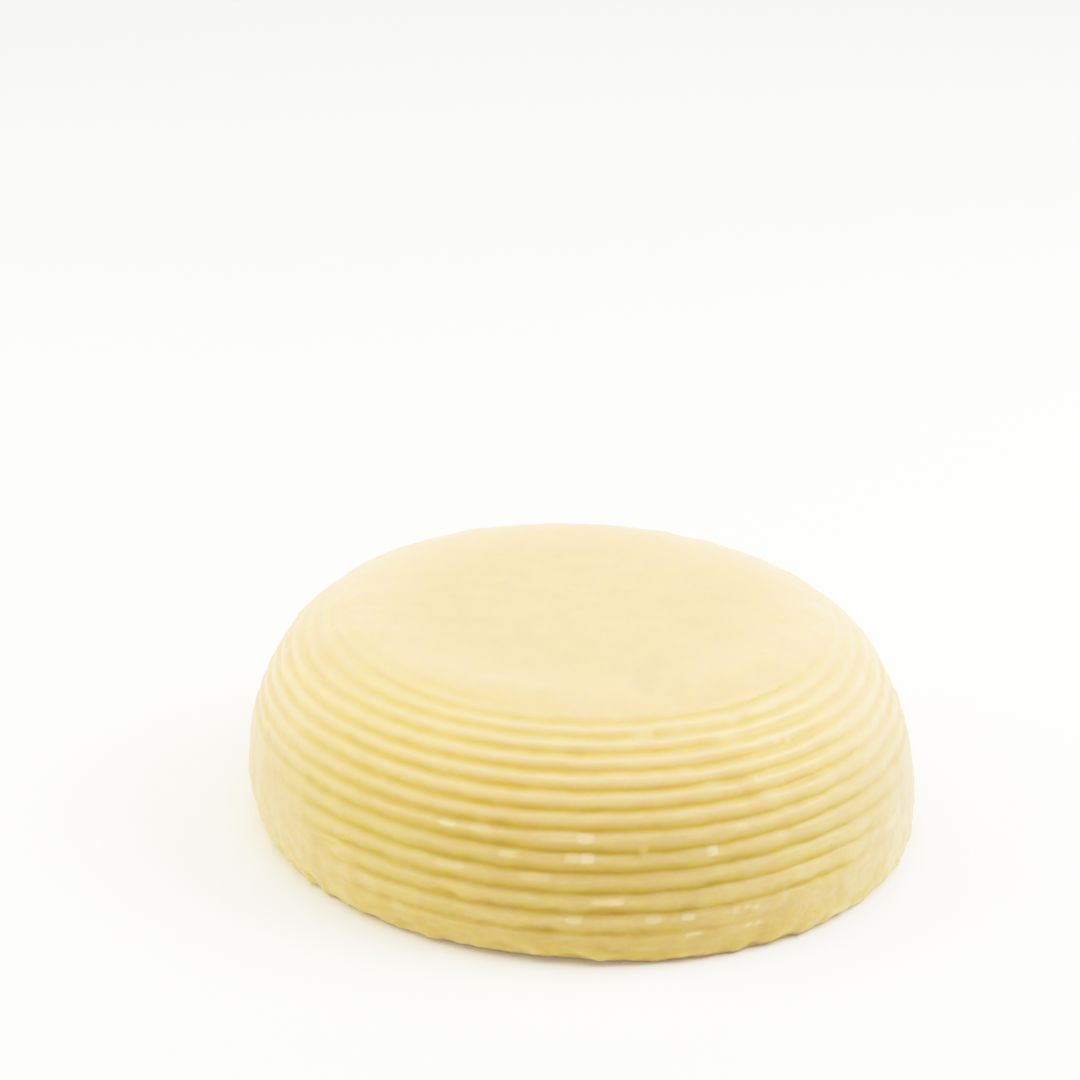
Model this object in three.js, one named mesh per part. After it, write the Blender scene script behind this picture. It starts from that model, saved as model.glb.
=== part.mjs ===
// A round basket cheese: one solid of pressed curd, ringed by the basket that it drained in.
// Millimetres, +Z up. The origin is the middle of the flat foot, and the front faces -Y.
import * as THREE from 'three';

// Driving dimensions of the body, as (radius, height) where a value has two parts
const FOOT_RADIUS = 84.5;
const WALL_HANDLE = [88.5, 22];
const SHOULDER_RADIUS = 79.3;
const RIM = [50, 55.2];
const CROWN_RISE = 0.3;
const HEEL_ROUND = 3.5;

// The plan is a little longer from front right to back left than across
const LONG_WAY = 35;
const OVAL = 0.041;

// The heel draws in at the front left
const TUCK = 2.6;
const TUCK_HEIGHT = 16;
const TUCK_WAY = -65;

// Rings that the basket pressed into the wall, counted from the foot up
const GROOVE_COUNT = 13;
const LOWEST_GROOVE = 9.05;
const PITCH_LOW = 5.1;
const PITCH_HIGH = 4.26;
const GROOVE_DEPTH = 1.15;
const GROOVE_ROUND = 0.3;

// At the heel and at the rim: how narrow a groove is, and where the crest lies from one groove to the next
const SHARPNESS = [1.8, 1.2];
const CREST = [0.8, 0.4];

// The rings are shallower towards the rim, from a share of the way up the wall,
// and at the sides, from one turn off the front or back to another
const DEPTH_AT_RIM = 0.42;
const FALL_HEIGHT = 0.65;
const DEPTH_AT_SIDES = 0.45;
const SIDE_TURNS = [40, 74];

// Grooves that fade, as [turn of their middle, how far either side they are full, and then gone] in degrees.
// The lowest show at the front and at the back, and the highest only marks the left of the rim.
const LOW_GROOVES = [
  [-8, 18, 45],
  [3, 38, 58],
  [2, 44, 66],
  [0, 54, 76],
];
const LOWEST_GROOVE_SHARE = 0.65;
const RIM_GROOVE = [-60, 36, 50];
const RIM_GROOVE_SHARE = 0.4;
const NEXT_GROOVE_SHARE = 0.85;

// Uneven curd: waves round the plan as [waves in one turn, height of a wave, shift]
const PLAN_WAVES = [
  [3, 0.25, 0.6],
  [5, 0.2, 2.1],
];
const HEEL_WAVES = [
  [7, 0.15, 0.4],
  [12, 0.15, 1.9],
];

// Fineness of the surface
const TURN_STEPS = 72;
const HEEL_STEPS = 3;
const CROWN_STEPS = 4;
const FLANK_SHARE = 0.35;

const CHEESE_COLOUR = 0xf3e3b4;
const CHEESE_ROUGHNESS = 0.55;

const wall = new THREE.CubicBezierCurve(
  new THREE.Vector2(FOOT_RADIUS, 0),
  new THREE.Vector2(...WALL_HANDLE),
  new THREE.Vector2(SHOULDER_RADIUS, RIM[1]),
  new THREE.Vector2(...RIM),
);
const wallLength = wall.getLength();

// Distance of each groove up the wall: the pitch shrinks evenly from the heel to the rim
function grooveStations() {
  const stations = [LOWEST_GROOVE];
  for (let i = 1; i < GROOVE_COUNT; i += 1) {
    const pitch = THREE.MathUtils.lerp(PITCH_LOW, PITCH_HIGH, (i - 1) / (GROOVE_COUNT - 2));
    stations.push(stations[i - 1] + pitch);
  }
  return stations;
}

const grooves = grooveStations();
const highestGroove = grooves[GROOVE_COUNT - 1];

// Cosine of a turn in degrees, with one or more waves in a whole turn
function lobe(degrees, count) {
  return Math.cos(count * THREE.MathUtils.degToRad(degrees));
}

// 1 near the middle of a groove that fades and 0 past its ends, repeated evenly round the plan
function fade(degrees, [middle, full, gone], count) {
  return THREE.MathUtils.smoothstep(lobe(degrees - middle, count), lobe(gone, count), lobe(full, count));
}

// 0 at the front and at the back, 1 at the sides
function sideways(degrees) {
  const [here, start, end] = [degrees, ...SIDE_TURNS].map((turn) => {
    return Math.abs(Math.sin(THREE.MathUtils.degToRad(turn)));
  });
  return THREE.MathUtils.smoothstep(here, start, end);
}

// Share of its depth that a single groove keeps at a turn from the front
function ownShare(index, degrees) {
  if (index < LOW_GROOVES.length) {
    return fade(degrees, LOW_GROOVES[index], 2) * (index === 0 ? LOWEST_GROOVE_SHARE : 1);
  }
  if (index === GROOVE_COUNT - 1) {
    return RIM_GROOVE_SHARE * fade(degrees, RIM_GROOVE, 1);
  }
  return index === GROOVE_COUNT - 2 ? NEXT_GROOVE_SHARE : 1;
}

// Share of the full depth that a groove has, less towards the rim and at the sides
function grooveShare(index, degrees) {
  const fall = Math.max((grooves[index] / highestGroove - FALL_HEIGHT) / (1 - FALL_HEIGHT), 0);
  const rim = THREE.MathUtils.lerp(1, DEPTH_AT_RIM, fall);
  return rim * THREE.MathUtils.lerp(1, DEPTH_AT_SIDES, sideways(degrees)) * ownShare(index, degrees);
}

// A value for one groove between those at the heel and at the rim
function upWall([low, high], groove) {
  return THREE.MathUtils.lerp(low, high, groove / highestGroove);
}

// Depth below the ridge tops at a distance up the wall: each groove eases out to the crests beside it
function grooveDepth(station, degrees) {
  const depths = grooves.map((groove, index) => {
    const pitch = THREE.MathUtils.lerp(PITCH_LOW, PITCH_HIGH, index / (GROOVE_COUNT - 1));
    const crest = upWall(CREST, groove);
    const reach = pitch * (station > groove ? crest : 1 - crest);
    const away = Math.hypot((station - groove) / reach, GROOVE_ROUND);
    const near = THREE.MathUtils.clamp((1 - away) / (1 - GROOVE_ROUND), 0, 1);
    return grooveShare(index, degrees) * near ** upWall(SHARPNESS, groove);
  });
  return GROOVE_DEPTH * Math.max(...depths);
}

// Sum of waves round the plan
function waves(list, turn) {
  return list.reduce((sum, [count, size, shift]) => sum + size * Math.sin(count * turn + shift), 0);
}

// How far the heel draws in at a height and a turn
function tuck(height, degrees) {
  const low = Math.max(1 - height / TUCK_HEIGHT, 0);
  const side = Math.max(lobe(degrees - TUCK_WAY, 1), 0);
  return TUCK * low ** 2 * side ** 2;
}

// A row of the profile: its point, the way out of the surface there, and its distance up the wall
function row(radius, height, outward = new THREE.Vector2(), station = null) {
  return { point: new THREE.Vector2(radius, height), outward, station };
}

// The heel rounds from the flat foot into the wall
function heelRows() {
  const edge = wall.getPointAt(HEEL_ROUND / wallLength);
  const rows = [];
  for (let i = 0; i < HEEL_STEPS; i += 1) {
    const angle = (Math.PI / 2) * (i / HEEL_STEPS);
    rows.push(row(edge.x - HEEL_ROUND * (1 - Math.sin(angle)), edge.y * (1 - Math.cos(angle))));
  }
  return rows;
}

// A ridge has rows at the groove below it, on its underside, at its crest and on its upper side
function wallRows() {
  const stations = [HEEL_ROUND, (HEEL_ROUND + LOWEST_GROOVE) / 2];
  for (let i = 0; i < GROOVE_COUNT - 1; i += 1) {
    const crest = upWall(CREST, grooves[i]);
    [0, FLANK_SHARE * crest, crest, 1 - FLANK_SHARE * (1 - crest)].forEach((share) => {
      stations.push(THREE.MathUtils.lerp(grooves[i], grooves[i + 1], share));
    });
  }
  stations.push(highestGroove, (highestGroove + wallLength) / 2, wallLength);
  return stations.map((station) => {
    const point = wall.getPointAt(station / wallLength);
    const along = wall.getTangentAt(station / wallLength);
    return row(point.x, point.y, new THREE.Vector2(along.y, -along.x), station);
  });
}

// The top rises a little from the rim to the middle
function crownRows() {
  const rows = [];
  for (let i = CROWN_STEPS - 1; i >= 0; i -= 1) {
    const share = i / CROWN_STEPS;
    rows.push(row(RIM[0] * share, RIM[1] + CROWN_RISE * (1 - share ** 2)));
  }
  return rows;
}

// Turns the profile, then sinks the grooves, stretches the plan and draws in and roughens the heel
function cheeseGeometry() {
  const rows = [row(0, 0), ...heelRows(), ...wallRows(), ...crownRows()];
  const geometry = new THREE.LatheGeometry(rows.map((each) => each.point), TURN_STEPS);
  const position = geometry.attributes.position;
  for (let i = 0; i < position.count; i += 1) {
    const { point, outward, station } = rows[i % rows.length];
    const degrees = (Math.floor(i / rows.length) / TURN_STEPS) * 360;
    const turn = THREE.MathUtils.degToRad(degrees);
    const sunk = station === null ? 0 : grooveDepth(station, degrees);
    const heel = Math.max(1 - point.y / LOWEST_GROOVE, 0) * waves(HEEL_WAVES, turn);
    const stretch = 1 + OVAL * lobe(degrees - LONG_WAY, 2);
    const uneven = 1 + (waves(PLAN_WAVES, turn) + heel) / FOOT_RADIUS;
    const drawn = (point.x / FOOT_RADIUS) * tuck(point.y, degrees);
    const radius = (point.x - sunk * outward.x) * stretch * uneven - drawn;
    const height = point.y - sunk * outward.y;
    position.setXYZ(i, radius * Math.sin(turn), height, radius * Math.cos(turn));
  }
  geometry.rotateX(Math.PI / 2);
  geometry.computeBoundingBox();
  const middle = geometry.boundingBox.getCenter(new THREE.Vector3());
  geometry.translate(-middle.x, -middle.y, 0);
  geometry.computeVertexNormals();
  return geometry;
}

const cheese = new THREE.Mesh(
  cheeseGeometry(),
  new THREE.MeshStandardMaterial({ color: CHEESE_COLOUR, roughness: CHEESE_ROUGHNESS, metalness: 0 }),
);
cheese.name = 'cheese';

const group = new THREE.Group();
group.add(cheese);

export default group;
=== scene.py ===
"""A basket cheese: one ringed round of pressed curd on a pale studio floor.

Laid out as an add-on. The sizes and colours are properties, the cheese and the stage each have an operator,
and main() runs them in order. Lengths are in metres and the front of the cheese faces -Y.
"""
import math
import random

import bpy
import numpy as np
from mathutils import Matrix, Vector


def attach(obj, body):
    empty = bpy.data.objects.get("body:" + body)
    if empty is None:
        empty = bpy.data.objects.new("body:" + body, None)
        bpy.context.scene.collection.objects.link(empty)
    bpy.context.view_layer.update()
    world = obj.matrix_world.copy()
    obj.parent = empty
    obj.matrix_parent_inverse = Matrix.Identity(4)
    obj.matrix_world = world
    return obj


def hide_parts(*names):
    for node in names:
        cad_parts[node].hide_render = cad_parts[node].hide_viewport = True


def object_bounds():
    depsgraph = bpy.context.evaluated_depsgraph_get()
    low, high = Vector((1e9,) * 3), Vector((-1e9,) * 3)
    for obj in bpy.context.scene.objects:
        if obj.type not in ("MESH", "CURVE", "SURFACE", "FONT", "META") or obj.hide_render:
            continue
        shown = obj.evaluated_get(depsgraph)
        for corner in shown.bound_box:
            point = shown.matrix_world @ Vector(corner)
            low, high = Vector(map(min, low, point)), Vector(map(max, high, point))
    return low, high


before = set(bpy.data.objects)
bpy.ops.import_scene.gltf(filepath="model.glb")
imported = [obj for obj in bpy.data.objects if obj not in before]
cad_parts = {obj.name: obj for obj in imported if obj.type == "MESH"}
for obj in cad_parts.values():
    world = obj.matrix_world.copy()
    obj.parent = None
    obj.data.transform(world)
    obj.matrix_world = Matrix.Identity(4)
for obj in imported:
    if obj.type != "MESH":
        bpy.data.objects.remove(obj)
CAD_LOW, CAD_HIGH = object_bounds()
HEIGHT = CAD_HIGH.z
MM = 0.001

bl_info = {
    "name": "Basket Cheese",
    "version": (1, 0, 0),
    "blender": (4, 5, 0),
    "location": "View3D > Sidebar > Cheese",
    "description": "Models a ringed basket cheese and sets it on a pale studio floor",
    "category": "Add Mesh",
}


# Sizes and colours that a user would change

class CurdShape(bpy.types.PropertyGroup):
    """Sizes of the pressed curd."""

    foot_radius: bpy.props.FloatProperty(
        name="Foot radius",
        description="Radius of the wall where it meets the foot",
        default=84.5 * MM,
        unit="LENGTH",
    )
    wall_handle: bpy.props.FloatVectorProperty(
        name="Wall handle",
        description="Radius and height that the lower wall leans towards",
        default=(88.5 * MM, 22.0 * MM),
        size=2,
        unit="LENGTH",
    )
    shoulder_radius: bpy.props.FloatProperty(
        name="Shoulder radius",
        description="Radius that the wall leans towards as it turns into the top",
        default=79.3 * MM,
        unit="LENGTH",
    )
    rim_radius: bpy.props.FloatProperty(
        name="Rim radius",
        description="Radius where the wall has become level with the top",
        default=50.0 * MM,
        unit="LENGTH",
    )
    crown_rise: bpy.props.FloatProperty(
        name="Crown rise",
        description="Rise of the top from its rim to its middle",
        default=0.3 * MM,
        unit="LENGTH",
    )
    heel_round: bpy.props.FloatProperty(
        name="Heel round",
        description="Rounding between the foot and the wall",
        default=3.5 * MM,
        unit="LENGTH",
    )
    oval: bpy.props.FloatProperty(
        name="Oval",
        description="Share by which the plan is longer one way and shorter the other",
        default=0.041,
        subtype="FACTOR",
    )
    long_way: bpy.props.FloatProperty(
        name="Long way",
        description="Turn from the front to the long way of the plan, towards the right",
        default=math.radians(35),
        subtype="ANGLE",
        unit="ROTATION",
    )
    tuck: bpy.props.FloatProperty(
        name="Tuck",
        description="How far the heel draws in on one side",
        default=2.6 * MM,
        unit="LENGTH",
    )
    tuck_height: bpy.props.FloatProperty(
        name="Tuck height",
        description="Height below which the heel draws in",
        default=16 * MM,
        unit="LENGTH",
    )
    tuck_way: bpy.props.FloatProperty(
        name="Tuck way",
        description="Turn from the front to the side where the heel draws in, towards the right",
        default=math.radians(-65),
        subtype="ANGLE",
        unit="ROTATION",
    )


class RingShape(bpy.types.PropertyGroup):
    """The rings that the basket pressed into the wall."""

    count: bpy.props.IntProperty(
        name="Grooves",
        description="Number of grooves, counted from the foot up",
        default=13,
    )
    lowest: bpy.props.FloatProperty(
        name="Lowest groove",
        description="Distance of the lowest groove up the wall",
        default=9.05 * MM,
        unit="LENGTH",
    )
    pitch_low: bpy.props.FloatProperty(
        name="Pitch at the heel",
        description="Distance between the two lowest grooves",
        default=5.1 * MM,
        unit="LENGTH",
    )
    pitch_high: bpy.props.FloatProperty(
        name="Pitch at the rim",
        description="Distance between the two highest grooves",
        default=4.26 * MM,
        unit="LENGTH",
    )
    depth: bpy.props.FloatProperty(
        name="Depth",
        description="Depth of a groove below the ridges",
        default=1.15 * MM,
        unit="LENGTH",
    )
    sharpness: bpy.props.FloatVectorProperty(
        name="Sharpness",
        description="Narrowness of the grooves at the heel and at the rim",
        default=(1.8, 1.2),
        size=2,
    )
    crest: bpy.props.FloatVectorProperty(
        name="Crest",
        description="Where the top of a ridge lies between its two grooves, at the heel and at the rim",
        default=(0.8, 0.4),
        size=2,
    )
    wander: bpy.props.FloatProperty(
        name="Wander",
        description="How far a groove strays up and down as it goes round",
        default=0.25 * MM,
        unit="LENGTH",
    )


class CurdFinish(bpy.types.PropertyGroup):
    """Colours of the curd, with its painted light and shade."""

    wall: bpy.props.FloatVectorProperty(
        name="Wall colour",
        description="Colour of the ridges",
        default=(0.752, 0.547, 0.314),
        size=3,
        min=0,
        max=1,
        subtype="COLOR",
    )
    # Painted light: the shoulder is painted paler than the wall, standing in for the brighter light that
    # falls on it.
    shoulder: bpy.props.FloatVectorProperty(
        name="Shoulder colour",
        description="Colour of the shoulder, where the curd dried first",
        default=(0.995, 0.702, 0.438),
        size=3,
        min=0,
        max=1,
        subtype="COLOR",
    )
    # Painted light: the top is painted paler than the wall, standing in for the brighter light that falls on
    # it.
    top: bpy.props.FloatVectorProperty(
        name="Top colour",
        description="Colour of the top, where the curd dried a little",
        default=(0.865, 0.64, 0.326),
        size=3,
        min=0,
        max=1,
        subtype="COLOR",
    )
    # Painted shade: this tint darkens the grooves, the heel and the creases and deepens their yellow,
    # standing in for the shade in them.
    groove: bpy.props.FloatVectorProperty(
        name="Groove tint",
        description="What the colour is multiplied by in the grooves, where whey stayed",
        default=(0.99, 1.06, 0.54),
        size=3,
        min=0,
        subtype="COLOR",
    )
    # Painted shade: the grooves near the rim are darkened by this tint, standing in for the shade in them.
    rim_groove: bpy.props.FloatVectorProperty(
        name="Rim groove tint",
        description="What the colour is multiplied by in the grooves near the rim",
        default=(0.91, 0.965, 0.57),
        size=3,
        min=0,
        subtype="COLOR",
    )
    # The fleck colour also paints the flaked curd at the heel and the painted highlights on the ridges.
    fleck: bpy.props.FloatVectorProperty(
        name="Fleck colour",
        description="Colour of the pale flecks of curd",
        default=(0.94, 0.76, 0.53),
        size=3,
        min=0,
        max=1,
        subtype="COLOR",
    )


class StudioSetting(bpy.types.PropertyGroup):
    """The camera, the floor and the lights."""

    camera_place: bpy.props.FloatVectorProperty(
        name="Camera place",
        description="Where the camera stands",
        default=(0.0007, -0.7614, 0.3704),
        size=3,
        subtype="TRANSLATION",
        unit="LENGTH",
    )
    camera_pitch: bpy.props.FloatProperty(
        name="Camera pitch",
        description="Turn of the camera up from looking straight down",
        default=math.radians(68.646),
        subtype="ANGLE",
        unit="ROTATION",
    )
    camera_turn: bpy.props.FloatProperty(
        name="Camera turn",
        description="Turn of the camera to the left about its own upright",
        default=math.radians(0.711),
        subtype="ANGLE",
        unit="ROTATION",
    )
    lens: bpy.props.FloatProperty(
        name="Lens",
        description="Focal length in millimetres on a sensor 36 mm wide",
        default=110.0,
    )
    room_glow: bpy.props.FloatProperty(
        name="Room glow",
        description="Even light of the studio from all round",
        default=0.22,
        min=0,
    )
    floor_glow: bpy.props.FloatProperty(
        name="Floor glow",
        description="Light that the floor gives off, as a lit table does",
        default=0.08,
        min=0,
    )
    floor_colour: bpy.props.FloatVectorProperty(
        name="Floor colour",
        description="Colour of the pale floor",
        default=(0.97, 0.97, 0.97),
        size=3,
        min=0,
        max=1,
        subtype="COLOR",
    )


# The cheese

# Fineness of the mesh
SPIN_STEPS = 540
ROWS_PER_RIDGE = 10
CROWN_ROWS = 26
HEEL_ROWS = 6
FOOT_ROWS = 4
CURVE_STEPS = 4001
MERGE_DISTANCE = 1e-6
WEIGHT_LEVELS = 2000

# A station is a distance up the wall. The flat foot has one below all others.
FOOT_STATION = -1.0

# Grooves that fade: the turn of their middle, and how far either side they are full and then gone,
# in degrees. The lowest show at the front and at the back, and the highest only marks the left of the rim.
LOW_GROOVES = ((-8, 18, 45), (3, 38, 58), (2, 44, 66), (0, 54, 76))
LOWEST_GROOVE_SHARE = 0.65
RIM_GROOVE = (-60, 36, 50)
RIM_GROOVE_SHARE = 0.4
NEXT_GROOVE_SHARE = 0.85

# How far the bottom of a groove is rounded, as a share of the way to the crests beside it
GROOVE_ROUND = 0.3

# How a groove strays up and down: the share of each ripple, and its fewest and most waves in one turn.
# A ripple is made of this many parts.
RING_SEED = 4
RIPPLE_PARTS = 4
STRAY_RIPPLES = ((0.6, 2, 6), (0.4, 24, 60), (0.2, 70, 120))

# How uneven the depth of a groove is, and the fewest and most waves of that in one turn
UNEVEN_DEPTH = 0.1
UNEVEN_WAVES = (6, 60)

# Where a strand of curd bridges a groove: the groove, its turn and its half width in degrees.
# A strand fills this share of the depth.
BURRS = ((4, 10.3, 0.9), (10, 12.6, 2.4), (7, -128, 1.0), (3, 151, 1.2), (6, 97, 0.8))
BURR_FILL = 0.6

# The rings are shallower and their painted shade paler at the sides: where that begins and ends as a turn
# from the front or back
SIDE_TURNS = (40, 74)
DEPTH_AT_SIDES = 0.45
TINT_AT_SIDES = 0.3

# Shares of the depth and of the painted groove shade that are left at the rim. A height of a groove is its
# share of the way up to the highest groove, and this is the one where they begin to fall.
DEPTH_AT_RIM = 0.42
TINT_AT_RIM = 0.7
FALL_HEIGHT = 0.65

# Heights between which the colours of the rings change from those of the low wall to those of the rim,
# and how fast the painted shade of a groove fades above it and below it, first on the low wall and then at
# the rim
TINT_HEIGHTS = (0.4, 0.8)
TINT_ABOVE = (1.6, 4.0)
TINT_BELOW = (3.2, 1.0)

# The painted highlight on the lit upper side of the ridge below a groove, in half pitches from it: where it
# begins, is full and ends again. It lies lower on the ridges near the rim, is as pale as this share of a
# fleck there, and fades at the sides.
HIGHLIGHT_BAND = (-1.25, -0.9, -0.5, -0.15)
HIGHLIGHT_TURNS = (12, 50)
HIGHLIGHT_SHIFT_AT_RIM = -0.45
HIGHLIGHT_SHARE_AT_RIM = 0.55

# Stations between which the colour of the wall gives way to that of the shoulder, and that to the top's. The
# shoulder and top are painted paler, as painted light.
SHOULDER_STATIONS = (24 * MM, 54 * MM)
CROWN_STATIONS = (56 * MM, 92 * MM)

# The heel is painted darker with the painted shade of the grooves, by this share from the lower station down
# and none above the higher
HEEL_SHADE = 0.42
HEEL_STATIONS = (16 * MM, 3 * MM)

# The wall is rough from the lower station down and not above the higher, and flaked there by this share
ROUGH_STATIONS = (28 * MM, 10 * MM)
FLAKED_HEEL = 0.9

# The worn part of the heel: its turn, and how far either side it is full and then gone, in degrees.
# It begins at a share of the foot's radius, ends at a height, and lifts the edge of the foot.
WORN_HEEL = (-14, 10, 26)
WORN_EDGE = (0.92, 1.0)
WORN_HEIGHT = 8 * MM
WORN_LIFT = 1.1 * MM

# Pale flecks on the front: turn in degrees, station and half size along and across in millimetres,
# and how pale
FRONT_FLECKS = (
    (-22.3, 31.8, 2.4, 0.8, 0.9),
    (-16.3, 32.1, 3.2, 1.0, 0.35),
    (-2.4, 32.1, 3.4, 1.0, 0.35),
    (1.2, 32.1, 1.8, 1.1, 0.9),
    (26.5, 32.1, 1.6, 1.0, 0.3),
    (-11.2, 27.2, 2.0, 0.9, 0.55),
    (-0.9, 27.4, 1.6, 1.0, 0.5),
    (1.3, 27.4, 1.6, 1.1, 0.95),
    (21.3, 27.5, 1.3, 1.0, 0.75),
    (-21.4, 22.4, 3.6, 1.0, 0.35),
    (-7.0, 22.4, 3.6, 0.9, 0.25),
    (4.2, 17.0, 3.2, 1.0, 0.5),
    (5.8, 17.0, 1.4, 0.9, 0.7),
    (-0.7, 12.4, 1.8, 1.0, 0.5),
    (11.6, 12.5, 2.0, 0.9, 0.5),
    (16.7, 12.4, 1.3, 0.9, 0.65),
    (24.3, 12.3, 0.9, 0.7, 0.45),
    (26.2, 12.5, 0.8, 0.6, 0.5),
    (27.8, 12.2, 0.9, 0.6, 0.5),
    (17.7, 7.8, 2.1, 0.6, 0.55),
    (26.6, 7.8, 0.9, 0.5, 0.6),
    (28.5, 7.6, 1.0, 0.5, 0.6),
    (37.6, 49.3, 1.4, 1.0, 0.8),
    (40.5, 48.7, 1.0, 1.0, 0.8),
    (31.0, 41.5, 0.8, 0.8, 0.8),
)
FLECK_RISE = 0.15 * MM

# Flecks strewn over the rest of the wall: how many, and the least and most of what a fleck on the front has
FLECK_SEED = 11
BACK_FLECKS = 24
BACK_FLECK_LENGTHS = (0.8, 3.2)
BACK_FLECK_WIDTHS = (0.7, 1.1)
BACK_FLECK_TURNS = (60, 300)
BACK_FLECK_SHARES = (0.2, 0.6)

# Creases in the curd, as the flecks. They are darkened with painted shade, as the grooves are.
CREASES = ((-46.5, 17.4, 3.2, 0.35, 0.9), (-50.0, 21.3, 1.6, 0.3, 0.5), (133.0, 22.0, 2.8, 0.35, 0.8))
CREASE_DEPTH = 0.4 * MM

# The edge of a fleck or a crease in half sizes, from gone to full, and how square its corners are
MARK_EDGE = (1.25, 0.75)
MARK_SQUARENESS = 4

# A faint smudge near the front of the top: its middle, its half size, and its edge as that of a fleck
SMUDGE_PLACE = (16 * MM, -46 * MM)
SMUDGE_SIZE = (3.2 * MM, 7 * MM)
SMUDGE_EDGE = (1.5, 0.4)

# Unevenness of the curd: how high its lumps are, how wide, and how often they break into finer ones
RELIEF = {
    "swell": (0.8 * MM, 40 * MM, 2),
    "lumps": (0.8 * MM, 10 * MM, 2),
    "curds": (0.25 * MM, 3.5 * MM, 2),
    "rough_heel": (0.85 * MM, 4.5 * MM, 3),
    "ragged_heel": (3.2 * MM, 6 * MM, 3),
}
LUMPS_ON_TOP = 0.3

# Distances above the floor over which the relief comes in, and over which the ragged heel does and then ends
RELIEF_START = (0.5 * MM, 4 * MM)
RAGGED_START = (0.1 * MM, 1 * MM)
RAGGED_END = (6 * MM, 1.5 * MM)


def smooth(low, high, value):
    """0 at low, 1 at high and an even ease between. Either may be the greater."""
    share = np.clip((value - low) / (high - low), 0, 1)
    return share * share * (3 - 2 * share)


def bezier(ends, handles, steps):
    """Points along one cubic curve, evenly spaced along its length, and their distances along it."""
    on = np.linspace(0, 1, CURVE_STEPS)[:, None]
    back = 1 - on
    first, last = (np.array(end) for end in ends)
    leaving, arriving = (np.array(handle) for handle in handles)
    curve = first * back ** 3 + 3 * leaving * back ** 2 * on + 3 * arriving * back * on ** 2 + last * on ** 3
    length = np.concatenate([[0], np.cumsum(np.linalg.norm(np.diff(curve, axis=0), axis=1))])
    stations = np.linspace(0, length[-1], steps)
    points = np.stack([np.interp(stations, length, curve[:, axis]) for axis in range(2)], axis=1)
    return points, stations


def groove_stations(rings):
    """Station of each groove: the pitch shrinks evenly from the heel to the rim."""
    pitches = np.linspace(rings.pitch_low, rings.pitch_high, rings.count - 1)
    return rings.lowest + np.concatenate([[0], np.cumsum(pitches)])


def cheese_profile(shape, rings):
    """Radius, height and station of each row of the half section, from the foot's middle to the top's.

    On the heel a station is the height, and on the top it goes on past the wall's length.
    """
    rim_height = HEIGHT - shape.crown_rise
    ends = ((shape.foot_radius, 0), (shape.rim_radius, rim_height))
    handles = (shape.wall_handle, (shape.shoulder_radius, rim_height))
    wall, stations = bezier(ends, handles, ROWS_PER_RIDGE * (rings.count + 1))
    keep = stations > shape.heel_round
    wall, stations = wall[keep], stations[keep]
    flat = wall[0][0] - shape.heel_round
    rows = [(flat * i / FOOT_ROWS, 0.0, FOOT_STATION) for i in range(FOOT_ROWS)]
    for i in range(HEEL_ROWS):
        angle = math.pi / 2 * i / HEEL_ROWS
        rise = wall[0][1] * (1 - math.cos(angle))
        rows.append((flat + shape.heel_round * math.sin(angle), rise, rise))
    rows += [(*point, station) for point, station in zip(wall, stations)]
    for i in reversed(range(CROWN_ROWS)):
        share = i / CROWN_ROWS
        height = rim_height + shape.crown_rise * (1 - share ** 2)
        rows.append((shape.rim_radius * share, height, stations[-1] + shape.rim_radius * (1 - share)))
    return np.array(rows)


def keep_attribute(obj, name, values):
    """Stores a value for each vertex, for later steps and for the finish to read."""
    attribute = obj.data.attributes.new(name, "FLOAT", "POINT")
    attribute.data.foreach_set("value", values.astype(np.float32))


def spin_profile(name, rows):
    """Draws the half section by extruding a point, then turns it into a closed round."""
    bpy.ops.object.select_all(action="DESELECT")
    bpy.ops.mesh.primitive_plane_add(size=MM, location=(0, 0, 0))
    obj = bpy.context.active_object
    obj.name = name
    obj.data.name = name
    bpy.ops.object.mode_set(mode="EDIT")
    bpy.ops.mesh.select_all(action="SELECT")
    bpy.ops.mesh.merge(type="CENTER")
    for here, there in zip(rows, rows[1:]):
        step = (0, here[0] - there[0], there[1] - here[1])
        bpy.ops.mesh.extrude_vertices_move(TRANSFORM_OT_translate={"value": step})
    bpy.ops.object.mode_set(mode="OBJECT")
    keep_attribute(obj, "station", rows[:, 2])
    turning = obj.modifiers.new("turning", "SCREW")
    turning.steps = SPIN_STEPS
    turning.render_steps = SPIN_STEPS
    turning.use_merge_vertices = True
    turning.merge_threshold = MERGE_DISTANCE
    bpy.ops.object.modifier_apply(modifier="turning")
    bpy.ops.object.mode_set(mode="EDIT")
    bpy.ops.mesh.select_all(action="SELECT")
    bpy.ops.mesh.normals_make_consistent(inside=False)
    bpy.ops.object.mode_set(mode="OBJECT")
    return obj


def vertex_places(obj):
    """Vertex coordinates, stations, and turns from the front towards the right."""
    count = len(obj.data.vertices)
    place = np.empty(count * 3, np.float32)
    obj.data.vertices.foreach_get("co", place)
    place = place.reshape(-1, 3)
    station = np.empty(count, np.float32)
    obj.data.attributes["station"].data.foreach_get("value", station)
    return place, station, np.arctan2(place[:, 0], -place[:, 1])


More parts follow.
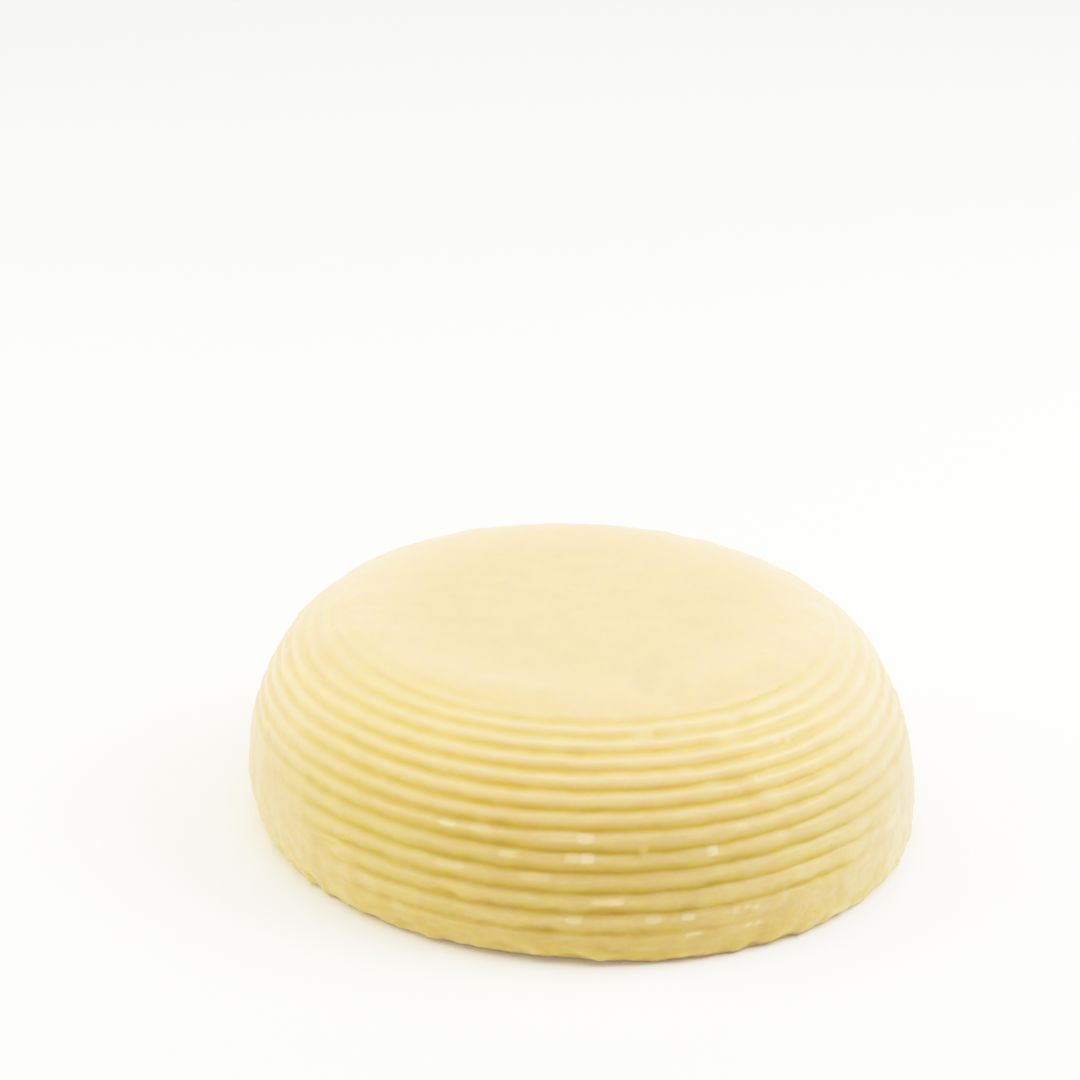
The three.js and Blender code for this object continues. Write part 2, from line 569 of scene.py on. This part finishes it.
def press(obj, name, weights, strength, texture=None, direction="NORMAL"):
    """Moves the surface by a Displace modifier under a vertex group, and applies it."""
    group = obj.vertex_groups.new(name=name)
    levels = np.round(weights * WEIGHT_LEVELS).astype(int)
    order = np.argsort(levels, kind="stable")
    starts = np.flatnonzero(np.diff(levels[order])) + 1
    for same in np.split(order, starts):
        level = levels[same[0]]
        if level > 0:
            group.add(same.tolist(), level / WEIGHT_LEVELS, "REPLACE")
    push = obj.modifiers.new(name, "DISPLACE")
    push.vertex_group = name
    push.direction = direction
    push.strength = strength
    push.mid_level = 0.0
    if texture:
        push.mid_level = 0.5
        push.texture = texture
        push.texture_coords = "LOCAL"
    bpy.ops.object.modifier_apply(modifier=name)
    obj.vertex_groups.remove(obj.vertex_groups[name])


def roughen(obj, name, weights):
    """Raises and sinks the surface by a soft noise of one kind of relief."""
    height, width, finer = RELIEF[name]
    noise = bpy.data.textures.new(name, "CLOUDS")
    noise.noise_scale = width
    noise.noise_depth = finer
    press(obj, name, weights, height, noise)


def ripple(turn, draw, fewest, most):
    """An uneven wave round the plan, mostly within 1, made of a few whole numbers of waves in one turn."""
    total = np.zeros_like(turn)
    for _ in range(RIPPLE_PARTS):
        total += np.sin(draw.randint(fewest, most) * turn + draw.uniform(0, math.tau))
    return total / RIPPLE_PARTS ** 0.5


def window(turn, middle, full, gone, lobes=1):
    """1 within full degrees of the middle and 0 past gone, repeated evenly round the plan."""
    wave = np.cos(lobes * (turn - math.radians(middle)))
    return smooth(math.cos(lobes * math.radians(gone)), math.cos(lobes * math.radians(full)), wave)


def groove_share(groove, rings, turn):
    """Share of the full depth that a groove has at a turn from the front."""
    share = np.ones_like(turn)
    if groove < len(LOW_GROOVES):
        share = window(turn, *LOW_GROOVES[groove], lobes=2)
        share *= LOWEST_GROOVE_SHARE if groove == 0 else 1
    elif groove == rings.count - 1:
        share = RIM_GROOVE_SHARE * window(turn, *RIM_GROOVE)
    elif groove == rings.count - 2:
        share *= NEXT_GROOVE_SHARE
    for bridged, middle, half in BURRS:
        if bridged == groove:
            share *= 1 - BURR_FILL * window(turn, middle, half / 2, half)
    return share


def sideways(turn, turns):
    """0 at the front and at the back, rising to 1 at the sides from the first of two turns to the second."""
    return smooth(*(math.sin(math.radians(each)) for each in turns), np.abs(np.sin(turn)))


def fading(height, turn, at_rim, at_sides):
    """1 for a groove low on the front or back, falling to its shares at the rim and at the sides."""
    by_height = np.interp(height, (FALL_HEIGHT, 1), (1, at_rim))
    return by_height * (1 - (1 - at_sides) * sideways(turn, SIDE_TURNS))


def nearness(rings, height, apart):
    """1 at the bottom of a groove, falling to 0 at the crests beside it."""
    crest = np.interp(height, (0, 1), rings.crest)
    away = apart / np.where(apart > 0, 2 * crest, 2 - 2 * crest)
    return np.clip((1 - np.hypot(away, GROOVE_ROUND)) / (1 - GROOVE_ROUND), 0, 1)


def shade_in_groove(height, apart, near):
    """Painted shade in a groove. It fades at one speed up the ridge above and at another down the ridge
    below.
    """
    above, below = (np.interp(height, TINT_HEIGHTS, ends) for ends in (TINT_ABOVE, TINT_BELOW))
    return near ** np.where(apart > 0, above, below)


def painted_highlight(height, apart):
    """The painted highlight: the pale upper part of the ridge below a groove, where it faces the light."""
    shift = np.interp(height, TINT_HEIGHTS, (0, HIGHLIGHT_SHIFT_AT_RIM))
    start, full, still_full, end = np.array(HIGHLIGHT_BAND) + shift
    return smooth(start, full, apart) * smooth(end, still_full, apart)


def groove_depths(rings, station, turn):
    """Shares of the full depth of the rings, of their painted shade and of their painted highlights at each
    vertex.
    """
    draw = random.Random(RING_SEED)
    centres = groove_stations(rings)
    depth, tint, pale = (np.zeros_like(station) for _ in range(3))
    for groove, centre in enumerate(centres):
        height = centre / centres[-1]
        half_pitch = np.interp(groove, (0, rings.count - 1), (rings.pitch_low, rings.pitch_high)) / 2
        stray = sum(part * ripple(turn, draw, *waves) for part, *waves in STRAY_RIPPLES)
        apart = (station - centre - rings.wander * stray) / half_pitch
        uneven = 1 - UNEVEN_DEPTH + UNEVEN_DEPTH * ripple(turn, draw, *UNEVEN_WAVES)
        share = groove_share(groove, rings, turn) * uneven
        near = nearness(rings, height, apart)
        sunk = near ** np.interp(height, (0, 1), rings.sharpness) * share
        depth = np.maximum(depth, sunk * fading(height, turn, DEPTH_AT_RIM, DEPTH_AT_SIDES))
        # Painted shade in the groove
        groove_shade = shade_in_groove(height, apart, near) * np.sqrt(share)
        tint = np.maximum(tint, groove_shade * fading(height, turn, TINT_AT_RIM, TINT_AT_SIDES))
        # Painted highlight on the upper side of the ridge below the groove
        band = painted_highlight(height, apart) * share
        pale = np.maximum(pale, band * (1 - sideways(turn, HIGHLIGHT_TURNS)))
    return np.clip(depth, 0, 1), np.clip(tint, 0, 1), np.clip(pale, 0, 1)


def all_flecks(rings):
    """The flecks on the front, and others strewn over the crests of the ridges on the rest of the wall."""
    draw = random.Random(FLECK_SEED)
    crests = groove_stations(rings)[:-2] + rings.pitch_low / 2
    flecks = list(FRONT_FLECKS)
    for _ in range(BACK_FLECKS):
        crest = draw.choice(list(crests)) / MM
        half_length = draw.uniform(*BACK_FLECK_LENGTHS)
        half_width = draw.uniform(*BACK_FLECK_WIDTHS)
        turn = draw.uniform(*BACK_FLECK_TURNS)
        flecks.append((turn, crest, half_length, half_width, draw.uniform(*BACK_FLECK_SHARES)))
    return flecks


def marks(places, shape, station, turn):
    """The share of each small mark on the wall, easing to 0 at its edges."""
    total = np.zeros_like(station)
    for middle, height, half_length, half_width, share in places:
        angle = np.abs(np.angle(np.exp(1j * (turn - math.radians(middle)))))
        along = angle * shape.foot_radius / (half_length * MM)
        across = np.abs(station - height * MM) / (half_width * MM)
        away = (along ** MARK_SQUARENESS + across ** MARK_SQUARENESS) ** (1 / MARK_SQUARENESS)
        total = np.maximum(total, share * smooth(*MARK_EDGE, away))
    return total


def smudge_mark(place):
    """1 on the smudge on the top, easing to 0 at its edge."""
    across, along = ((place[:, axis] - SMUDGE_PLACE[axis]) / SMUDGE_SIZE[axis] for axis in range(2))
    return smooth(*SMUDGE_EDGE, np.hypot(across, along)) * (place[:, 2] > HEIGHT / 2)


def stretch_plan(obj, shape):
    """Makes the plan a little longer along the long way."""
    bpy.ops.object.mode_set(mode="EDIT")
    bpy.ops.mesh.select_all(action="SELECT")
    sine, cosine = math.sin(shape.long_way), math.cos(shape.long_way)
    along = ((sine, -cosine, 0), (cosine, sine, 0), (0, 0, 1))
    bpy.ops.transform.resize(
        value=(1 + shape.oval, 1 - shape.oval, 1),
        orient_type="GLOBAL",
        orient_matrix=along,
        orient_matrix_type="GLOBAL",
        constraint_axis=(True, True, False),
        center_override=(0, 0, 0),
    )
    bpy.ops.object.mode_set(mode="OBJECT")


def draw_in_heel(obj, shape, place, turn):
    """Moves the heel in on one side, and the foot with it in proportion."""
    low = np.clip(1 - place[:, 2] / shape.tuck_height, 0, 1) ** 2
    side = np.clip(np.cos(turn - shape.tuck_way), 0, 1) ** 2
    share = np.clip(np.hypot(place[:, 0], place[:, 1]) / shape.foot_radius, 0, 1)
    press(obj, "tuck_across", low * side * share, -math.sin(shape.tuck_way) * shape.tuck, direction="X")
    press(obj, "tuck_along", low * side * share, math.cos(shape.tuck_way) * shape.tuck, direction="Y")


def wear_heel(obj, shape, place, turn):
    """Lifts the edge of the foot a little where the heel is worn."""
    edge = smooth(*WORN_EDGE, np.hypot(place[:, 0], place[:, 1]) / shape.foot_radius)
    low = np.clip(1 - place[:, 2] / WORN_HEIGHT, 0, 1)
    press(obj, "worn_heel", edge * low * window(turn, *WORN_HEEL), WORN_LIFT, direction="Z")


def press_marks(obj, shape, rings, place, station, turn):
    """Presses the rings, the creases and the flecks, and keeps where each colour, the painted shade and the
    painted highlight show.
    """
    depth, tint, pale = groove_depths(rings, station, turn)
    crease = marks(CREASES, shape, station, turn)
    fleck = marks(all_flecks(rings), shape, station, turn)
    press(obj, "rings", depth, -rings.depth)
    press(obj, "creases", crease, -CREASE_DEPTH)
    press(obj, "flecks", fleck, FLECK_RISE)
    # Painted shade: the heel is darkened as the grooves are.
    shaded_heel = HEEL_SHADE * smooth(*HEEL_STATIONS, station)
    flaked = FLAKED_HEEL * smooth(*ROUGH_STATIONS, station)
    shoulder = smooth(*SHOULDER_STATIONS, station)
    shares = {
        # Painted shade of the grooves, the heel and the creases
        "tint": np.maximum(np.maximum(tint, shaded_heel), crease),
        # Painted highlight on the ridges, and the flaked curd at the heel
        "pale": np.maximum(pale, flaked),
        # The flecks, and near the rim a share of the painted highlight
        "fleck": np.maximum(fleck, HIGHLIGHT_SHARE_AT_RIM * pale * shoulder),
        "shoulder": shoulder,
        "crown": smooth(*CROWN_STATIONS, station),
        "smudge": smudge_mark(place),
    }
    for name, values in shares.items():
        keep_attribute(obj, name, values)


def roughen_surface(obj, place, station):
    """Adds the relief of the curd: less on the top, more at the heel and none on the flat foot."""
    above_floor = place[:, 2]
    free = smooth(*RELIEF_START, above_floor)
    below_top = free * smooth(*reversed(CROWN_STATIONS), station)
    weights = {
        "swell": free,
        "lumps": LUMPS_ON_TOP * free + (1 - LUMPS_ON_TOP) * below_top,
        "curds": below_top,
        "rough_heel": free * smooth(*ROUGH_STATIONS, station),
        "ragged_heel": smooth(*RAGGED_START, above_floor) * smooth(*RAGGED_END, above_floor),
    }
    for name, weight in weights.items():
        roughen(obj, name, weight)


class CHEESE_OT_curd(bpy.types.Operator):
    """Model the ringed round of curd and give it its finish"""

    bl_idname = "cheese.curd"
    bl_label = "Curd"

    def execute(self, context):
        shape = context.scene.curd_shape
        rings = context.scene.ring_shape
        curd = spin_profile("curd", cheese_profile(shape, rings))
        stretch_plan(curd, shape)
        place, station, turn = vertex_places(curd)
        draw_in_heel(curd, shape, place, turn)
        wear_heel(curd, shape, place, turn)
        press_marks(curd, shape, rings, place, station, turn)
        roughen_surface(curd, place, station)
        bpy.ops.object.shade_smooth()
        curd.data.materials.append(curd_material(context.scene.curd_finish))
        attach(curd, "root")
        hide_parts("cheese")
        return {"FINISHED"}


# The finish

# Noise in the curd: broad unevenness, patches that are streaked by this stretch, and a fine grain.
# A scale is the number of lumps in one metre.
BROAD_NOISE = {"Scale": 60.0, "Detail": 3.0}
PATCH_NOISE = {"Scale": 150.0, "Detail": 4.0, "Roughness": 0.6}
PATCH_STRETCH = (1, 1, 2.5)
GRAIN_NOISE = {"Scale": 900.0, "Detail": 4.0}
GRAIN_STRENGTH = 0.3
GRAIN_HEIGHT = 0.3 * MM

# The part of the patches that is flaked with pale curd, and by how much
FLAKED_PATCHES = (0.45, 0.65)
FLAKE_SHARES = (0, 0.3)

# What the colour is multiplied by: everywhere, in the deeper patches, in the patches of the top,
# and on the smudge
MOTTLE = (0.95, 1.0)
PATCH_TINT = (0.93, 0.925, 0.85)
TOP_PATCHES = (0.3, 0.7)
TOP_MOTTLE = (0.95, 1.05)
SMUDGE_TINT = (0.93, 0.93, 0.93)

# Roughness of the curd, from its least to its most, and how light sinks in and glances off
CURD_ROUGHNESS = (0.3, 0.46)
CURD_LIGHT = {
    "Subsurface Weight": 1.0,
    "Subsurface Radius": (1.0, 1.5, 0.24),
    "Subsurface Scale": 5 * MM,
    "Specular IOR Level": 0.5,
    "Sheen Weight": 0.25,
    "Sheen Roughness": 0.5,
}


class Nodes:
    """Adds nodes to a material and links them."""

    def __init__(self, name):
        self.material = bpy.data.materials.new(name)
        self.material.use_nodes = True
        self.tree = self.material.node_tree
        self.shader = self.tree.nodes["Principled BSDF"]

    def fill(self, node, inputs):
        """Sets inputs of a node. An input is a value, or an output socket to link."""
        for key, value in inputs.items():
            if isinstance(value, bpy.types.NodeSocket):
                self.tree.links.new(value, node.inputs[key])
            else:
                node.inputs[key].default_value = value

    def add(self, kind, inputs, output, **settings):
        """The output of a new node with its settings and inputs."""
        node = self.tree.nodes.new(kind)
        for key, value in settings.items():
            setattr(node, key, value)
        self.fill(node, inputs)
        return node.outputs[output]

    def attribute(self, name):
        """A value that the mesh keeps for each vertex."""
        return self.add("ShaderNodeAttribute", {}, "Fac", attribute_name=name)

    def noise(self, place, values):
        """A soft noise at a place."""
        return self.add("ShaderNodeTexNoise", {"Vector": place, **values}, "Fac")

    def spread(self, value, ends, source=(0, 1)):
        """A value moved from its source range to two ends, and kept between them."""
        inputs = {"Value": value}
        inputs["From Min"], inputs["From Max"] = source
        inputs["To Min"], inputs["To Max"] = ends
        return self.add("ShaderNodeMapRange", inputs, "Result")

    def mix(self, factor, first, second, blend="MIX"):
        """A colour between two others."""
        inputs = {"Factor": factor, "A": first, "B": second}
        return self.add("ShaderNodeMix", inputs, "Result", data_type="RGBA", blend_type=blend)


def opaque(colour):
    """A colour with the full alpha that a socket asks for."""
    return (*colour, 1.0)


def curd_colour(nodes, finish, broad, patches):
    """Cream ridges, a shoulder and top painted paler as painted light, grooves, heel and creases darkened as
    painted shade, painted highlights on the ridges and pale flecks, all a little mottled.
    """
    tint, shoulder, crown = (nodes.attribute(name) for name in ("tint", "shoulder", "crown"))
    pale, fleck, smudge = (nodes.attribute(name) for name in ("pale", "fleck", "smudge"))
    # Painted light: the shoulder and top are paler than the wall.
    colour = nodes.mix(shoulder, opaque(finish.wall), opaque(finish.shoulder))
    colour = nodes.mix(crown, colour, opaque(finish.top))
    # Painted shade: the grooves, the heel and the creases are multiplied darker and deeper yellow.
    groove_shade = nodes.mix(shoulder, opaque(finish.groove), opaque(finish.rim_groove))
    colour = nodes.mix(tint, colour, groove_shade, "MULTIPLY")
    # Painted highlight: pale flakes in the fleck colour follow the highlight on the ridges, and the flaked
    # heel.
    flakes = nodes.spread(patches, FLAKE_SHARES, FLAKED_PATCHES)
    flakes = nodes.add("ShaderNodeMath", {0: flakes, 1: pale}, "Value", operation="MULTIPLY")
    colour = nodes.mix(flakes, colour, opaque(finish.fleck))
    # The fleck mask also carries a share of the painted highlight near the rim.
    colour = nodes.mix(fleck, colour, opaque(finish.fleck))
    colour = nodes.mix(1.0, colour, nodes.spread(broad, MOTTLE), "MULTIPLY")
    colour = nodes.mix(patches, colour, opaque(PATCH_TINT), "MULTIPLY")
    colour = nodes.mix(crown, colour, nodes.spread(patches, TOP_MOTTLE, TOP_PATCHES), "MULTIPLY")
    return nodes.mix(smudge, colour, opaque(SMUDGE_TINT), "MULTIPLY")


def curd_material(finish):
    """Pressed curd: its colours, a fine grain and light that sinks in."""
    nodes = Nodes("pressed_curd")
    place = nodes.add("ShaderNodeTexCoord", {}, "Object")
    streaked = nodes.add("ShaderNodeMapping", {"Vector": place, "Scale": PATCH_STRETCH}, "Vector")
    broad = nodes.noise(place, BROAD_NOISE)
    patches = nodes.noise(streaked, PATCH_NOISE)
    grain = {"Height": nodes.noise(place, GRAIN_NOISE), "Strength": GRAIN_STRENGTH, "Distance": GRAIN_HEIGHT}
    surface = {
        "Base Color": curd_colour(nodes, finish, broad, patches),
        "Roughness": nodes.spread(broad, CURD_ROUGHNESS),
        "Normal": nodes.add("ShaderNodeBump", grain, "Normal"),
    }
    nodes.fill(nodes.shader, {**surface, **CURD_LIGHT})
    return nodes.material


# The stage

FLOOR_SIZE = 6.0
PAPER_FINISH = {"Roughness": 0.9, "Specular IOR Level": 0.1}
SENSOR_WIDTH = 36

# Colours of the lights, and the sizes of their panels
WHITE_LIGHT = (1, 1, 1)
WARM_LIGHT = (1, 0.95, 0.6)
CEILING_PANEL = (1.4, 0.7)
SIDE_PANEL = (0.7, 0.4)
BACK_PANEL = (1.4, 0.9)

# A tent of soft lights round the cheese: place, the way each looks, its size, power in watts and colour
SOFTBOXES = {
    "ceiling_front": ((0, -0.35, 1.1), (0, 0, -1), CEILING_PANEL, 3.3, WHITE_LIGHT),
    "ceiling_back": ((0, 0.35, 1.1), (0, 0, -1), CEILING_PANEL, 3.2, WHITE_LIGHT),
    "left_front": ((-0.8, -0.4, 0.22), (1, 0, 0), SIDE_PANEL, 1.3, WHITE_LIGHT),
    "left_back": ((-0.8, 0.4, 0.22), (1, 0, 0), SIDE_PANEL, 1.4, WARM_LIGHT),
    "left_high": ((-0.75, 0, 0.7), (0.75, 0, -0.66), SIDE_PANEL, 1.9, WARM_LIGHT),
    "right_front": ((0.8, -0.4, 0.22), (-1, 0, 0), SIDE_PANEL, 0.5, WHITE_LIGHT),
    "right_back": ((0.8, 0.4, 0.22), (-1, 0, 0), SIDE_PANEL, 1.0, WHITE_LIGHT),
    "right_high": ((0.75, 0, 0.7), (-0.75, 0, -0.66), SIDE_PANEL, 3.9, WHITE_LIGHT),
    "back": ((0, 1.1, 0.5), (0, -1, 0), BACK_PANEL, 3.3, WHITE_LIGHT),
}

# The response from light to picture, as top * light^2 / (light^2 + knee), and the shares of the white level
# where the curve is set. A new curve already has its ends.
TONE_TOP = 1.15
TONE_KNEE = 0.198
TONE_WHITE = 1.2
TONE_ENDS = (0, 1)
TONE_PLACES = (0.08, 0.16, 0.25, 0.35, 0.45, 0.58, 0.75)
ALL_CHANNELS = 3


def add_softbox(name, place, facing, size, power, colour):
    """A broad soft light that looks one way."""
    bpy.ops.object.light_add(type="AREA", location=place)
    lamp = bpy.context.active_object
    lamp.name = name
    lamp.rotation_euler = Vector(facing).to_track_quat("-Z", "Y").to_euler()
    lamp.data.shape = "RECTANGLE"
    lamp.data.size, lamp.data.size_y = size
    lamp.data.energy = power
    lamp.data.color = colour


def add_floor(studio):
    """A broad sheet of pale matt paper with a little light behind it."""
    bpy.ops.object.select_all(action="DESELECT")
    bpy.ops.mesh.primitive_plane_add(size=FLOOR_SIZE)
    floor = bpy.context.active_object
    floor.name = "floor"
    nodes = Nodes("studio_paper")
    glow = {"Emission Color": opaque(WHITE_LIGHT), "Emission Strength": studio.floor_glow}
    nodes.fill(nodes.shader, {"Base Color": opaque(studio.floor_colour), **glow, **PAPER_FINISH})
    floor.data.materials.append(nodes.material)


def add_camera(studio):
    """The camera, in front of the cheese and looking down on it."""
    bpy.ops.object.camera_add(location=studio.camera_place)
    camera = bpy.context.active_object
    camera.name = "camera"
    turned = Matrix.Rotation(studio.camera_pitch, 4, "X") @ Matrix.Rotation(studio.camera_turn, 4, "Y")
    camera.rotation_euler = turned.to_euler()
    camera.data.lens = studio.lens
    camera.data.sensor_width = SENSOR_WIDTH
    bpy.context.scene.camera = camera


def studio_world(studio):
    """A faint even light from all round."""
    world = bpy.data.worlds.new("studio")
    world.use_nodes = True
    background = world.node_tree.nodes["Background"]
    background.inputs["Color"].default_value = opaque(WHITE_LIGHT)
    background.inputs["Strength"].default_value = studio.room_glow
    return world


def response(place):
    """Height of the tone curve at a share of the white level."""
    light = (place * TONE_WHITE) ** 2
    return min(TONE_TOP * light / (light + TONE_KNEE), 1.0)


def set_tone(view):
    """A photographic response: a soft toe and a shoulder that lets bright yellow pale towards white."""
    view.view_transform = "Standard"
    view.use_curve_mapping = True
    tone = view.curve_mapping
    tone.white_level = (TONE_WHITE,) * 3
    points = tone.curves[ALL_CHANNELS].points
    for end in TONE_ENDS:
        points[end].location = (end, response(end))
    for place in TONE_PLACES:
        points.new(place, response(place))
    tone.update()


class CHEESE_OT_stage(bpy.types.Operator):
    """Set the floor, the lights and the camera"""

    bl_idname = "cheese.stage"
    bl_label = "Stage"

    def execute(self, context):
        studio = context.scene.studio_setting
        add_floor(studio)
        for name, values in SOFTBOXES.items():
            add_softbox(name, *values)
        context.scene.world = studio_world(studio)
        set_tone(context.scene.view_settings)
        add_camera(studio)
        return {"FINISHED"}


# The sidebar

class CHEESE_PT_sidebar(bpy.types.Panel):
    """Lists the pieces and the values that they are made from"""

    bl_idname = "CHEESE_PT_sidebar"
    bl_label = "Basket Cheese"
    bl_space_type = "VIEW_3D"
    bl_region_type = "UI"
    bl_category = "Cheese"

    def draw(self, context):
        for operator in OPERATORS:
            self.layout.operator(operator.bl_idname)
        for group in GROUPS:
            values = getattr(context.scene, group)
            box = self.layout.box()
            for name in values.__annotations__:
                box.prop(values, name)


GROUPS = {
    "curd_shape": CurdShape,
    "ring_shape": RingShape,
    "curd_finish": CurdFinish,
    "studio_setting": StudioSetting,
}
OPERATORS = (CHEESE_OT_curd, CHEESE_OT_stage)
CLASSES = (*GROUPS.values(), *OPERATORS, CHEESE_PT_sidebar)


def register():
    """Adds the classes to Blender and the groups of values to its scenes."""
    for each in CLASSES:
        bpy.utils.register_class(each)
    for name, group in GROUPS.items():
        setattr(bpy.types.Scene, name, bpy.props.PointerProperty(type=group))


def unregister():
    """Takes them out again."""
    for name in GROUPS:
        delattr(bpy.types.Scene, name)
    for each in reversed(CLASSES):
        bpy.utils.unregister_class(each)


def main():
    """Makes the cheese and its stage."""
    register()
    bpy.ops.cheese.curd()
    bpy.ops.cheese.stage()


if __name__ == "__main__":
    main()
